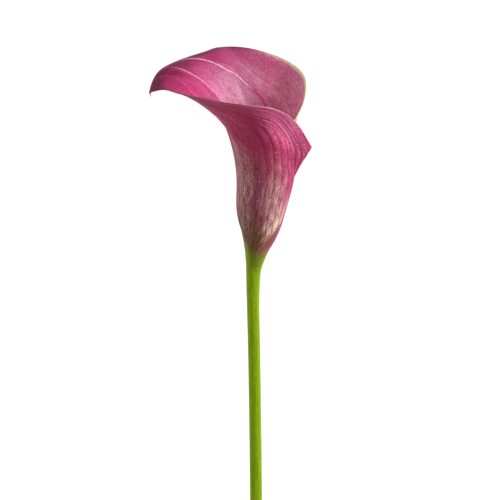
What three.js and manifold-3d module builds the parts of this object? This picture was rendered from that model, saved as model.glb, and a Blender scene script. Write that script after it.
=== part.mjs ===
// A cut calla lily lying on its side: a smooth stem, the rolled spathe that makes its trumpet, and
// the spadix that stands inside. Millimetres. Each piece is drawn as it grew, with +Z up the stem,
// +X to the front, where the spathe's two edges overlap, -X to its tip, and +Y to the side that it
// lies on. The flower is then laid down on Z = 0 with its tip towards +Y.
import * as THREE from "three";
import { mergeVertices } from "three/addons/utils/BufferGeometryUtils.js";
import Module from "manifold-3d";

const wasm = await Module();
wasm.setup();

// Driving dimensions
const STEM_LENGTH = 200;
const CUT_SLANT = 28; // degrees that the cut end leans
const CUT_BLEND = 30; // length over which the stem's rings lean into the cut
const SEAM = 0.3; // gap between pieces that grew together
const RECEPTACLE_RADIUS = 3;
const RECEPTACLE_HEIGHT = 2.5;
const SPADIX_LENGTH = 50;
const SPADIX_RADIUS = 3.5;
const SPADIX_WAIST = 0.78; // its foot's radius, as a share of the whole
const WAIST_SHARE = 0.2; // share of its length over which it swells from its foot
const TIP_SHARE = 0.1; // share of its length that its round tip takes
const TIP_BLUNT = 0.02;
const FLORETS_AROUND = 6; // waves of the relief that wind each way
const FLORET_ROWS = 17;
const FLORET_HEIGHT = 0.5;
const THROAT_HEIGHT = 42; // where the tube ends and the open limb begins
const SPIRAL = 1.3; // how far the outer edge stands out, and the inner edge in, where they overlap
const SPIRAL_RISE = 4; // height at which they stand fully apart
const BASE_SLOT = 2; // degrees to each side of the front that the spathe leaves open at its base
const WRAP_START = 6; // its edges begin to pass each other here
const WRAP_END = 20;
const PETAL_THICK = 1.2;
const MARGIN_THICK = 0.7;

// How the flower lies, in degrees, and how deep its weight presses a flat spot
const LEAN = 6.37;
const ROLL = -0.33;
const PRESSED_FLAT = 0.4;
const TABLE_SIDE = 600;
const TABLE_THICK = 20;

// Facets
const STEM_SIDES = 20;
const STEM_RINGS = 24;
const STEM_CROWDING = 0.14; // how far its rings crowd towards both ends
const SPADIX_SIDES = 24;
const SPADIX_RINGS = 52;
const SPATHE_COLUMNS = 66;
const TUBE_ROWS = 8;
const LIMB_ROWS = 16;
const STEP = 0.001; // for slopes of the spathe's surface
const MERGE_WITHIN = 1e-4;

// The stem from its cut to its flared neck: height, sideways bow and radius
const STEM_STATIONS = [
  [-200, 1.5, 3.5],
  [-146, 1.0, 3.45],
  [-100, 0.5, 3.4],
  [-53, -0.2, 3.4],
  [-29, -0.7, 3.45],
  [-17, -0.8, 3.65],
  [-10, -0.7, 3.9],
  [-5, -0.5, 4.15],
  [-0.3, 0.1, 4.75],
];

// The spathe's tube: height, how far its centre bows to the front, and radius
const TUBE_STATIONS = [
  [0, 0.1, 4.15],
  [7, 0.9, 5.4],
  [13, 1.8, 7.2],
  [19, 2.5, 9.2],
  [25, 2.7, 10.8],
  [31, 3.1, 12.1],
  [37, 4.0, 13.1],
  [44, 4.8, 13.9],
  [51, 5.9, 14.9],
];

// The open limb, from its inner edge at the front, over the far side and the tip, to its outer edge:
// direction round the tube in degrees, the rim's point x, y, z, how far inside and above that point
// the pull of the flare lies, and how far the tube's own direction carries, as a share of the way
const LIMB_STATIONS = [
  [-38, 12.6, -8, 65, 2, -10, 0.35],
  [-27, 16.3, -6, 74, 4, -12, 0.35],
  [-15, 20.7, -2, 81, 6, -13, 0.35],
  [-2, 24.0, 4, 85.2, 8, -14, 0.35],
  [12, 26.8, 11, 89.1, 10, -15, 0.35],
  [26, 28.2, 18.5, 94, 12, -15, 0.35],
  [40, 27.4, 26, 97.8, 14, -15, 0.35],
  [54, 23.4, 32.5, 100.9, 16, -15, 0.35],
  [68, 16.0, 37.3, 104.2, 18, -14, 0.35],
  [82, 6.8, 37.8, 108.2, 19, -13, 0.35],
  [96, -2.5, 37.3, 111, 19, -11, 0.35],
  [110, -12.3, 38.0, 111.7, 19, -2, 0.35],
  [124, -22.2, 37.6, 110.2, 18, 12, 0.38],
  [140, -33, 30.5, 106, 16, 25, 0.44],
  [155, -44, 21, 103, 13, 31, 0.52],
  [168, -52.2, 11.5, 100, 11, 36, 0.58],
  [180, -56.2, 5, 96, 9, 43, 0.61],
  [190, -54.2, 0.5, 98.5, 9.5, 33, 0.64],
  [202, -48.5, -7, 101.9, 9.5, 16, 0.68],
  [216, -40, -16.5, 103.6, 8, -3, 0.68],
  [232, -30, -26.5, 104.5, 11, -9, 0.57],
  [248, -20, -33.5, 104.7, 15, -10, 0.45],
  [264, -9, -37.7, 104.3, 17, -13, 0.38],
  [280, 0.5, -38.5, 103.5, 18, -15, 0.35],
  [296, 8, -37, 102.2, 18, -16, 0.35],
  [313, 15.3, -31.5, 97.5, 17, -16, 0.35],
  [330, 21, -24.3, 90.7, 15, -15, 0.35],
  [347, 25.4, -16.7, 83.2, 12, -12, 0.35],
  [360, 28.1, -10.8, 76.3, 9, -9, 0.37],
  [371, 29.9, -5.5, 71, 7, -7, 0.39],
  [380, 30.6, -2, 67.4, 5, -6, 0.4],
  [389, 28.6, 2, 62.9, 4, -5, 0.4],
  [398, 25.2, 7, 56.4, 3, -4, 0.4],
];

// Reads a table at a key, with a smooth cubic from row to row. The key is each row's first value.
function readTable(table, key) {
  let row = 0;
  while (row < table.length - 2 && key > table[row + 1][0]) row++;
  const from = table[row];
  const to = table[row + 1];
  const before = table[Math.max(row - 1, 0)];
  const after = table[Math.min(row + 2, table.length - 1)];
  const span = to[0] - from[0];
  const t = (key - from[0]) / span;
  return from.map((value, i) => {
    const slopeFrom = ((to[i] - before[i]) / (to[0] - before[0])) * span;
    const slopeTo = ((after[i] - value) / (after[0] - from[0])) * span;
    const rise = to[i] - value;
    const square = 3 * rise - 2 * slopeFrom - slopeTo;
    const cube = slopeFrom + slopeTo - 2 * rise;
    return value + t * (slopeFrom + t * (square + t * cube));
  });
}

const degrees = THREE.MathUtils.degToRad;
const { lerp, smoothstep } = THREE.MathUtils;
const FIRST_EDGE = LIMB_STATIONS[0][0];
const LAST_EDGE = LIMB_STATIONS.at(-1)[0];

// The direction of a point of the tube, from turn 0 at the inner edge to 1 at the outer. At its base
// the spathe only closes round the stem, and higher up its edges pass each other.
function tubeDirection(turn, height) {
  const wrap = smoothstep(height, WRAP_START, WRAP_END);
  return lerp(lerp(BASE_SLOT, FIRST_EDGE, wrap), lerp(360 - BASE_SLOT, LAST_EDGE, wrap), turn);
}

// A point of the tube's wall, on a slow spiral that keeps the overlapping edges apart
function tubePoint(turn, height) {
  const [, bow, radius] = readTable(TUBE_STATIONS, height);
  const reach = radius + SPIRAL * (2 * turn - 1) * Math.min(1, height / SPIRAL_RISE);
  const angle = degrees(tubeDirection(turn, height));
  return new THREE.Vector3(bow + reach * Math.cos(angle), reach * Math.sin(angle), height);
}

// A point of the limb: a cubic from the tube, pulled first up the tube and last by the flare
function limbPoint(turn, share) {
  const start = tubePoint(turn, THROAT_HEIGHT);
  const along = start.clone().sub(tubePoint(turn, THROAT_HEIGHT - 1));
  const [, x, y, z, inward, rise, carry] = readTable(LIMB_STATIONS, lerp(FIRST_EDGE, LAST_EDGE, turn));
  const rim = new THREE.Vector3(x, y, z);
  const outward = new THREE.Vector3(x - readTable(TUBE_STATIONS, THROAT_HEIGHT)[1], y, 0).normalize();
  const flare = rim.clone().addScaledVector(outward, -inward);
  flare.z += rise;
  const neck = start.clone().addScaledVector(along, carry * start.distanceTo(rim));
  return new THREE.CubicBezierCurve3(start, neck, flare, rim).getPoint(share);
}

// The spathe's middle surface: level 0 to 1 is the tube, and 1 to 2 is the limb
function spathePoint(turn, level) {
  return level < 1 ? tubePoint(turn, level * THROAT_HEIGHT) : limbPoint(turn, level - 1);
}

function meshGeometry(points, faces) {
  const geometry = new THREE.BufferGeometry();
  geometry.setAttribute("position", new THREE.Float32BufferAttribute(points.flatMap((p) => p.toArray()), 3));
  geometry.setIndex(faces);
  geometry.computeVertexNormals();
  return geometry;
}

// The spathe as one closed blade: an outer and an inner face split into like triangles, and their edges
function spatheGeometry() {
  const columns = SPATHE_COLUMNS + 1;
  const rows = TUBE_ROWS + LIMB_ROWS + 1;
  const points = [];
  for (const side of [1, -1])
    for (let i = 0; i < columns; i++)
      for (let j = 0; j < rows; j++) {
        const turn = i / SPATHE_COLUMNS;
        const level = j <= TUBE_ROWS ? j / TUBE_ROWS : 1 + (j - TUBE_ROWS) / LIMB_ROWS;
        const here = spathePoint(turn, level);
        const around = spathePoint(Math.min(turn + STEP, 1), level);
        around.sub(spathePoint(Math.max(turn - STEP, 0), level));
        const up = spathePoint(turn, Math.min(level + STEP, 2));
        up.sub(spathePoint(turn, Math.max(level - STEP, 0)));
        const thick = lerp(PETAL_THICK, MARGIN_THICK, level / 2);
        const normal = around.cross(up).normalize();
        points.push(here.addScaledVector(normal, (side * thick) / 2));
      }
  const faces = [];
  const outer = (i, j) => i * rows + j;
  const inner = (i, j) => columns * rows + i * rows + j;
  const quad = (a, b, c, d) => faces.push(a, b, c, a, c, d);
  for (let i = 0; i < columns - 1; i++)
    for (let j = 0; j < rows - 1; j++) {
      quad(outer(i, j), outer(i + 1, j), outer(i + 1, j + 1), outer(i, j + 1));
      faces.push(inner(i, j), inner(i + 1, j + 1), inner(i + 1, j));
      faces.push(inner(i, j), inner(i, j + 1), inner(i + 1, j + 1));
    }
  for (let i = 0; i < columns - 1; i++) {
    quad(outer(i, 0), inner(i, 0), inner(i + 1, 0), outer(i + 1, 0));
    quad(outer(i, rows - 1), outer(i + 1, rows - 1), inner(i + 1, rows - 1), inner(i, rows - 1));
  }
  for (let j = 0; j < rows - 1; j++) {
    quad(outer(0, j), outer(0, j + 1), inner(0, j + 1), inner(0, j));
    quad(outer(columns - 1, j), inner(columns - 1, j), inner(columns - 1, j + 1), outer(columns - 1, j + 1));
  }
  return meshGeometry(points, faces);
}

// A closed round body through rings of points, from its lowest ring to its highest, with each end
// closed by a fan about its centre
function ringsGeometry(rings) {
  const sides = rings[0].length;
  const points = rings.flat();
  const faces = [];
  for (let r = 0; r < rings.length - 1; r++)
    for (let s = 0; s < sides; s++) {
      const a = r * sides + s;
      const b = r * sides + ((s + 1) % sides);
      faces.push(a, b, b + sides, a, b + sides, a + sides);
    }
  for (const [end, first] of [
    [rings[0], 0],
    [rings.at(-1), points.length - sides],
  ]) {
    const centre = end.reduce((sum, p) => sum.add(p), new THREE.Vector3()).divideScalar(sides);
    const hub = points.push(centre) - 1;
    for (let s = 0; s < sides; s++) {
      const a = first + s;
      const b = first + ((s + 1) % sides);
      faces.push(...(first === 0 ? [hub, b, a] : [hub, a, b]));
    }
  }
  return meshGeometry(points, faces);
}

// One ring of points: the centre is how far it bows to the front, and the slant tilts it to the far side
function ring(sides, height, centre, radiusAt, slant = 0) {
  return Array.from({ length: sides }, (_, s) => {
    const angle = (2 * Math.PI * s) / sides;
    const radius = radiusAt(angle);
    const y = radius * Math.sin(angle);
    return new THREE.Vector3(centre + radius * Math.cos(angle), y, height - slant * y);
  });
}

// The stem: a tapered rod with a slanted cut below and a short receptacle above its neck
function stemGeometry() {
  const slope = Math.tan(degrees(CUT_SLANT));
  const rings = [];
  for (let r = 0; r <= STEM_RINGS; r++) {
    const share = r / STEM_RINGS;
    const above = (STEM_LENGTH - SEAM) * (share - STEM_CROWDING * Math.sin(2 * Math.PI * share));
    const [, bow, radius] = readTable(STEM_STATIONS, above - STEM_LENGTH);
    const slant = slope * Math.max(0, 1 - above / CUT_BLEND);
    rings.push(ring(STEM_SIDES, above - STEM_LENGTH, bow, () => radius, slant));
  }
  const neckBow = STEM_STATIONS.at(-1)[1];
  for (const height of [-SEAM, RECEPTACLE_HEIGHT]) {
    rings.push(ring(STEM_SIDES, height, neckBow, () => RECEPTACLE_RADIUS));
  }
  return ringsGeometry(rings);
}

// The spadix: a blunt finger that follows the tube's bow, its wall raised into rows of florets
function spadixGeometry() {
  const rings = [];
  for (let r = 0; r <= SPADIX_RINGS; r++) {
    const share = r / SPADIX_RINGS;
    const height = RECEPTACLE_HEIGHT + SEAM + share * SPADIX_LENGTH;
    const bow = readTable(TUBE_STATIONS, height)[1];
    const intoTip = Math.max(0, 1 - (1 - share) / TIP_SHARE);
    const tip = Math.sqrt(Math.max(TIP_BLUNT, 1 - intoTip ** 2));
    const body = SPADIX_RADIUS * lerp(SPADIX_WAIST, 1, smoothstep(share, 0, WAIST_SHARE));
    const climb = Math.PI * FLORET_ROWS * share;
    const floret = (twist) => Math.abs(Math.cos(twist + climb) * Math.cos(twist - climb));
    const radiusAt = (angle) => tip * (body - FLORET_HEIGHT * (1 - floret(FLORETS_AROUND * angle)));
    rings.push(ring(SPADIX_SIDES, height, bow, radiusAt));
  }
  return ringsGeometry(rings);
}

function solidOf(geometry) {
  const bare = geometry.clone();
  bare.deleteAttribute("normal");
  bare.deleteAttribute("uv");
  const merged = mergeVertices(bare, MERGE_WITHIN);
  const vertProperties = merged.attributes.position.array;
  const triVerts = new Uint32Array(merged.index.array);
  return new wasm.Manifold(new wasm.Mesh({ numProp: 3, vertProperties, triVerts }));
}

// Cuts a flat spot where a piece presses on the table
function pressFlat(geometry, table) {
  const cut = solidOf(geometry).subtract(solidOf(table)).getMesh();
  const pressed = new THREE.BufferGeometry();
  pressed.setAttribute("position", new THREE.BufferAttribute(cut.vertProperties, 3));
  pressed.setIndex(new THREE.BufferAttribute(cut.triVerts, 1));
  pressed.computeVertexNormals();
  return pressed;
}

const stemGreen = new THREE.MeshStandardMaterial({ color: 0x7fa022, roughness: 0.5, metalness: 0 });
const spathePink = new THREE.MeshStandardMaterial({ color: 0xb04474, roughness: 0.45, metalness: 0 });
const spadixYellow = new THREE.MeshStandardMaterial({ color: 0xd9a53a, roughness: 0.8, metalness: 0 });

// The flower turns onto its side about the line from front to tip, leans on its far flap, and rolls
const flower = new THREE.Group();
flower.rotation.set(degrees(-90 + LEAN), degrees(ROLL), 0, "YXZ");

for (const [name, geometry, material] of [
  ["stem", stemGeometry(), stemGreen],
  ["spathe", spatheGeometry(), spathePink],
  ["spadix", spadixGeometry(), spadixYellow],
]) {
  const mesh = new THREE.Mesh(geometry, material);
  mesh.name = name;
  flower.add(mesh);
}

// Puts the middle of the laid flower's box over the origin, and its lowest points a little below Z = 0
flower.updateMatrixWorld(true);
const box = new THREE.Box3().setFromObject(flower, true);
const middle = box.getCenter(new THREE.Vector3());
flower.position.set(-middle.x, -middle.y, -box.min.z - PRESSED_FLAT);
flower.updateMatrixWorld(true);

// The table under it, turned to the frame in which the flower grew, flattens what presses on it
const table = new THREE.BoxGeometry(TABLE_SIDE, TABLE_SIDE, TABLE_THICK).translate(0, 0, -TABLE_THICK / 2);
table.applyMatrix4(flower.matrixWorld.clone().invert());
for (const mesh of flower.children) mesh.geometry = pressFlat(mesh.geometry, table);

export default flower;
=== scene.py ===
import functools
import math

import bpy
from bpy.props import FloatProperty, FloatVectorProperty, IntProperty, PointerProperty
from mathutils import Matrix, Vector, noise
from mathutils.kdtree import KDTree


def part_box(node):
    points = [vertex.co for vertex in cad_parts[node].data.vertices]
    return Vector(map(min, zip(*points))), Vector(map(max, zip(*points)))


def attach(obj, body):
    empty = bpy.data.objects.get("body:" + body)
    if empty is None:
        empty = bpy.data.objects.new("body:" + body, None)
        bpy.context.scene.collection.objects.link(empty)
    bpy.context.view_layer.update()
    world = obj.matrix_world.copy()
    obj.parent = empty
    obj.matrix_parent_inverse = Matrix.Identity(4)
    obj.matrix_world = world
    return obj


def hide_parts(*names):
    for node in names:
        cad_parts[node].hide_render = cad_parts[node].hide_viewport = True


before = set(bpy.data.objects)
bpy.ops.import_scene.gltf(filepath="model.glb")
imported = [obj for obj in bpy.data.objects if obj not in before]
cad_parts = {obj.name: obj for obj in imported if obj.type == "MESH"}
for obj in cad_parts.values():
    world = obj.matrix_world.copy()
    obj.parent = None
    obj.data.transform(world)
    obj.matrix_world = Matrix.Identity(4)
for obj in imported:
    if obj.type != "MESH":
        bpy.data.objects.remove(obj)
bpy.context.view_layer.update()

bl_info = {
    "name": "Calla Lily",
    "version": (1, 0, 0),
    "blender": (4, 5, 0),
    "location": "3D View > Sidebar > Calla",
    "description": "Adds a cut calla lily in its finished skins, lying in a pale studio",
    "category": "Add Mesh",
}

MM = 0.001  # metres in a millimetre

# The flower is drawn as it grew, in millimetres, with Z up the stem, X to the front, where the
# spathe's edges overlap, -X to its tip and Y to the side that it lies on. These turn it onto that side.
LEAN = 6.37  # degrees that the stem rises from its cut to the bloom
ROLL = -0.33  # degrees about the line that it lies along, so that both low points of the rim touch

# The stem from its cut to its flared neck: height, sideways bow and radius
STEM_STATIONS = [
    (-200, 1.5, 3.5),
    (-146, 1.0, 3.45),
    (-100, 0.5, 3.4),
    (-53, -0.2, 3.4),
    (-29, -0.7, 3.45),
    (-17, -0.8, 3.65),
    (-10, -0.7, 3.9),
    (-5, -0.5, 4.15),
    (-0.3, 0.1, 4.75),
]
CUT_SLANT = 28  # degrees
CUT_BLEND = 30  # height over which the slant dies out
CUT_RINGS = [(0.15, -0.12), (0.35, 0.1), (0.5, 0.3), (1.2, 0.15)]  # insets, and how far each sinks
CUT_SHARP_ANGLE = 40  # degrees past which the stem's edges stay sharp

# The spathe's tube: height, how far its centre bows to the front, and radius
TUBE_STATIONS = [
    (0, 0.15, 4.35),
    (7, 0.95, 5.7),
    (13, 1.95, 7.55),
    (19, 2.7, 9.45),
    (25, 2.9, 11.3),
    (31, 3.2, 12.6),
    (37, 3.9, 13.5),
    (44, 4.9, 14.25),
    (51, 6.25, 14.75),
]
THROAT_HEIGHT = 42  # where the tube ends and the limb begins
SPIRAL = 1.3  # how far one edge lies outside the tube's radius, and the other inside it
SPIRAL_RISE = 14  # height by which they are that far apart
BASE_SLOT = 0.4  # degrees from the front to each edge at the foot, where they don't overlap yet
WRAP_START = 6  # height at which the edges begin to pass each other
WRAP_END = 20  # and by which they overlap in full

# The open limb: direction round the tube, the rim's point x, y, z, how far inside and above that
# point the pull of the flare lies, and how far the tube's own direction carries
LIMB_STATIONS = [
    (-38, 12.6, -8, 65, 2, -10, 0.35),
    (-27, 16.3, -6, 74, 4, -12, 0.35),
    (-15, 20.7, -2, 81, 6, -13, 0.35),
    (-2, 24.0, 4, 85.2, 8, -14, 0.35),
    (12, 26.8, 11, 89.1, 10, -15, 0.35),
    (26, 28.2, 18.5, 94, 12, -15, 0.35),
    (40, 27.5, 26, 98.4, 14, -15, 0.35),
    (54, 23.6, 32.5, 101.6, 16, -15, 0.35),
    (68, 16.2, 37.3, 104.9, 18, -14, 0.35),
    (82, 6.8, 37.8, 108.4, 19, -13, 0.35),
    (96, -2.5, 37.3, 111, 19, -11, 0.35),
    (110, -12.3, 38.0, 111.7, 19, -2, 0.35),
    (124, -22.2, 37.6, 110.6, 18, 12, 0.38),
    (140, -33, 30.5, 106.4, 16, 24.5, 0.44),
    (155, -44.2, 21, 102.7, 13, 31, 0.54),
    (168, -52.6, 11.5, 99.4, 10.3, 35.4, 0.63),
    (180, -56.6, 5, 96.2, 6.8, 38.7, 0.69),
    (190, -54.8, 0.5, 98.4, 9, 31.8, 0.71),
    (202, -48.5, -7, 102, 10, 17, 0.71),
    (216, -40, -16.5, 103.2, 8, -2.4, 0.66),
    (232, -30, -26.5, 104.5, 8.6, -9.8, 0.535),
    (248, -20, -33.5, 104.7, 14.3, -10.6, 0.45),
    (264, -9, -37.7, 104.3, 17, -13, 0.38),
    (280, 0.5, -38.5, 103.5, 18, -15, 0.35),
    (296, 8, -37, 102.2, 18, -16, 0.35),
    (313, 15.3, -31.5, 97.5, 17, -16, 0.35),
    (330, 21, -24.3, 90.7, 15, -15, 0.35),
    (347, 24.9, -16.7, 83.2, 12, -12, 0.35),
    (360, 27.8, -10.8, 76.3, 8, -9.5, 0.35),
    (371, 29.8, -5.5, 71, 5.5, -8.5, 0.27),
    (380, 30.6, -2, 67.4, 4.2, -7.5, 0.2),
    (389, 27.3, 2, 62.9, 4, -6, 0.2),
    (398, 24.6, 7, 56.4, 1.8, -4.5, 0.2),
]
FIRST_EDGE = LIMB_STATIONS[0][0]
LAST_EDGE = LIMB_STATIONS[-1][0]

# The grooves between the spathe's pleats: where each lies round the tube, as a share of the way from
# the tip's side to an edge, the far way round negative, and its depth as a share of the deepest
GROOVES = [
    (-1.06, 0.2), (-0.93, 0.4), (-0.86, 0.6), (-0.78, 0.45), (-0.7, 0.6), (-0.6, 0.4), (-0.52, 0.5),
    (-0.41, 0.35), (-0.33, 0.4), (-0.2, 0.3), (-0.07, 0.2), (0.1, 0.3), (0.22, 0.4), (0.31, 0.35),
    (0.39, 0.6), (0.455, 1.0), (0.535, 0.85), (0.62, 0.7), (0.69, 0.8), (0.77, 0.7), (0.84, 0.8),
    (0.89, 0.7), (0.94, 0.6), (1.06, 0.3),
]
GROOVE_REACH = 0.2  # half a groove's width, as a share of a pleat's
PLEAT_BACK = 0.35  # how far a pleat's back stands out, as a share of its grooves' depth
PLEAT_HEIGHTS = (4, 40)  # the pleats deepen between these heights
RIM_OPENINGS = (0.75, 1)  # between these openings of the limb they grow shallow
RIM_CALM = 0.7  # and lose this share of their depth
TIP_OPENINGS = (0.55, 0.9)  # near the tip they end, between these openings
TIP_SIDES = (0.05, 0.4)  # and between these distances round from its side
WIDEST_PLEAT = 20  # the most that a pleat is taken to span, in millimetres

# How the limb's veins bend over to the tip, where all meet. Each row is one vein: its place round the
# tube, then its place at each opening of the limb, from 0 at the throat to 1 at the rim.
TIP_SIDE = 0.03  # the tip's place round the tube, as a share of the way from -X to an edge
VEIN_OPENINGS = (0, 0.4, 0.5, 0.6, 0.7, 0.8, 0.9, 1)
VEIN_PATHS = [
    (-1.03, -1.03, -1.03, -1.03, -1.03, -1.03, -1.03, -1.03),
    (-0.89, -0.89, -0.89, -0.88, -0.84, -0.62, -0.28, 0),
    (-0.73, -0.73, -0.72, -0.68, -0.55, -0.28, -0.12, 0),
    (-0.50, -0.49, -0.47, -0.42, -0.172, -0.09, -0.04, 0),
    (-0.19, -0.13, -0.088, -0.052, -0.028, -0.015, -0.007, 0),
    (0.22, 0.215, 0.20, 0.165, 0.115, 0.07, 0.03, 0),
    (0.46, 0.485, 0.49, 0.475, 0.44, 0.33, 0.17, 0),
    (0.65, 0.67, 0.68, 0.68, 0.63, 0.43, 0.22, 0),
    (0.83, 0.83, 0.83, 0.83, 0.83, 0.79, 0.48, 0),
    (0.97, 0.97, 0.97, 0.97, 0.97, 0.97, 0.97, 0.97),
]

# The three pale veins of the inner face, each by side and opening from the throat to the tip
PALE_VEINS = {
    "vein_far": [
        (-0.5, 0), (-0.49, 0.3), (-0.46, 0.48), (-0.413, 0.587), (-0.377, 0.613), (-0.33, 0.62),
        (-0.27, 0.607), (-0.213, 0.62), (-0.17, 0.66), (-0.123, 0.733), (-0.093, 0.773), (-0.05, 0.85),
    ],
    "vein_middle": [
        (-0.16, 0), (-0.14, 0.25), (-0.093, 0.413), (-0.06, 0.473), (-0.027, 0.553), (-0.01, 0.613),
        (-0.003, 0.667), (0.004, 0.73), (0.01, 0.8),
    ],
    "vein_near": [
        (0.2, 0), (0.2, 0.35), (0.175, 0.6), (0.137, 0.74), (0.117, 0.773), (0.093, 0.813),
        (0.07, 0.84), (0.05, 0.88),
    ],
}
PALE_VEIN_REACH = 6  # millimetres from a pale vein past which its distance isn't kept
PALE_VEIN_STEPS = 12  # between two of its points

COLUMNS = 330
ROWS = 135
TUBE_SHARE = 1 / 3  # of the rows
FOOT = -0.8  # height at which the spathe's foot ends, sunk in the stem's neck
FOOT_RISE = 4  # height by which its wall has its whole thickness
FOOT_THICKNESS = 0.12
RIM_ROUNDING = 0.2
SHARP_ANGLE = 50  # degrees past which the spathe's edges are rounded, and its point's stay sharp

POINT_LENGTH = 2.2  # of the thread at the tip, past it
POINT_ROOT = 1.2  # of the same, inside the tip
POINT_RADIUS = 0.45
POINT_END = 0.3  # its radius at the end, as a share, before it withers
POINT_WITHERS = 0.7  # the share of its thickness that withering leaves there
POINT_FORWARD = 0.3  # from the tip's middle surface to the thread's middle
POINT_CURL = 0.5  # how far its end curls to the front
POINT_SIDES = 12
POINT_CUTS = 5

STEM_SIDES = 48
STEM_RINGS = 90
RECEPTACLE = [(0.6, 4.3), (1.2, 3.4), (2.5, 3)]  # height and radius of the stem's end inside the tube

# The spadix: its foot's height, and its narrow waist there, as a share of its radius and its length
SPADIX_FOOT = 2.8
SPADIX_WAIST = 0.78
WAIST_SHARE = 0.2
OVARY_SHARE = 0.2  # the part of the spadix, from its foot, that bears ovaries
CORE_SIDES = 32
CORE_RINGS = 24
CORE_LENGTH = 0.985  # of the spadix's
CORE_INSET = 0.45  # how deep the core lies under the florets' tops, as a share of a floret's width
CORE_FOOT = 0.02  # shares of its length that set how soon its foot and its tip are at full width
CORE_TIP = 0.07

# A floret is a bead, given here one wide: how round it is, and the dent across its top
BEAD_ROUNDNESS = 0.55
DENT_ABOVE = 0.3
DENT_HALF_WIDTH = 0.2
DENT_DEPTH = 0.12

# How the florets stand, in shares of a floret's width, and how unevenly
FLORET_SEED = 1  # of the noise that makes them uneven, so that every run gives the same ones
RING_SPACING = 0.87
RING_TWIST = 0.04
FLORET_INSET = 0.4
FLORET_SIZE = 1.02
FLORET_UNEVEN = 0.18
FLORET_SPIN = 1.2  # radians at most, about its own axis
FLORET_JITTER = 0.12  # millimetres at most, in and out
POLLEN_FLATNESS = 0.9  # height of a pollen floret, as a share of an ovary's
TIP_LEAN = 1.2  # how steeply the last florets point along the spadix

# The photograph's view of the upright flower: the camera looks along Y and down at it
PICTURE_SIDE = 500  # pixels
PIXEL = 0.55  # millimetres that a pixel spans at the flower
VIEW_DOWN = 22  # degrees
VIEW_DISTANCE = 1500  # millimetres
ROOT_PIXEL = (254.5, 262)  # where the seam of stem and spathe shows
SENSOR = 36  # width of the camera's sensor, in millimetres

# The studio, in metres: the lights stand round the flower's middle
FLOOR_SIDE = 6
FLOWER_MIDDLE = (0, 0.06, 0.03)
KEY_PLACE = (1.0, 0.15, 0.3)
KEY_SIDE = 0.6
FILL_PLACE = (-0.5, 0.5, 0.9)
FILL_SIDE = 0.8

# Patterns that follow the veins are worked out from these lengths of the spathe, in millimetres
HALF_ROUND = 56  # round the throat, from the tip's side to an edge
LIMB_REACH = 70  # up the limb's sides, from the throat to the rim

EASED = {"interpolation_type": "SMOOTHSTEP"}  # makes a range of values start and end softly


def lerp(a, b, share):
    """The number that lies this share of the way from one to the other."""
    return a + (b - a) * share


def smoothstep(value, low, high):
    """Goes from 0 to 1 as the value goes from low to high, and starts and ends softly."""
    t = min(max((value - low) / (high - low), 0), 1)
    return t * t * (3 - 2 * t)


def read_table(table, key):
    """Reads a table at a key, with a smooth cubic from row to row. The key is each row's first value."""
    row = 0
    while row < len(table) - 2 and key > table[row + 1][0]:
        row += 1
    start, end = table[row], table[row + 1]
    before, after = table[max(row - 1, 0)], table[min(row + 2, len(table) - 1)]
    span = end[0] - start[0]
    t = (key - start[0]) / span
    found = []
    for a, b, p, n in zip(start, end, before, after):
        leaving = (b - p) / (end[0] - before[0]) * span
        arriving = (n - a) / (after[0] - start[0]) * span
        square = 3 * (b - a) - 2 * leaving - arriving
        cube = leaving + arriving - 2 * (b - a)
        found.append(a + t * (leaving + t * (square + t * cube)))
    return found


def tube_direction(turn, height):
    """The direction round the tube, in degrees, in which the blade has this turn at this height."""
    wrap = smoothstep(height, WRAP_START, WRAP_END)
    return lerp(lerp(BASE_SLOT, FIRST_EDGE, wrap), lerp(360 - BASE_SLOT, LAST_EDGE, wrap), turn)


def tube_point(turn, height):
    """A point of the tube's wall, on a slow spiral that keeps the overlapping edges apart."""
    _, bow, radius = read_table(TUBE_STATIONS, height)
    reach = radius + SPIRAL * (2 * turn - 1) * min(1, max(0, height / SPIRAL_RISE))
    angle = math.radians(tube_direction(turn, height))
    return Vector((bow + reach * math.cos(angle), reach * math.sin(angle), height))


@functools.lru_cache(maxsize=None)
def limb_pulls(turn):
    """The four points of the cubic that one line of the limb follows from the tube to the rim."""
    start = tube_point(turn, THROAT_HEIGHT)
    along = start - tube_point(turn, THROAT_HEIGHT - 1)
    _, x, y, z, inward, rise, carry = read_table(LIMB_STATIONS, lerp(FIRST_EDGE, LAST_EDGE, turn))
    rim = Vector((x, y, z))
    outward = Vector((x - read_table(TUBE_STATIONS, THROAT_HEIGHT)[1], y, 0)).normalized()
    flare = rim - outward * inward + Vector((0, 0, rise))
    neck = start + along * (carry * (rim - start).length)
    return start, neck, flare, rim


def spathe_point(turn, level):
    """The spathe's middle surface: level 0 to 1 is the tube, and 1 to 2 is the limb."""
    if level < 1:
        return tube_point(turn, level * THROAT_HEIGHT)
    start, neck, flare, rim = limb_pulls(turn)
    t = level - 1
    s = 1 - t
    return start * (s * s * s) + neck * (3 * s * s * t) + flare * (3 * s * t * t) + rim * (t * t * t)


def level_of(share):
    """The level of a row of the blade, by its share of the rows."""
    if share < TUBE_SHARE:
        return lerp(FOOT / THROAT_HEIGHT, 1, share / TUBE_SHARE)
    return 1 + (share - TUBE_SHARE) / (1 - TUBE_SHARE)


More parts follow.
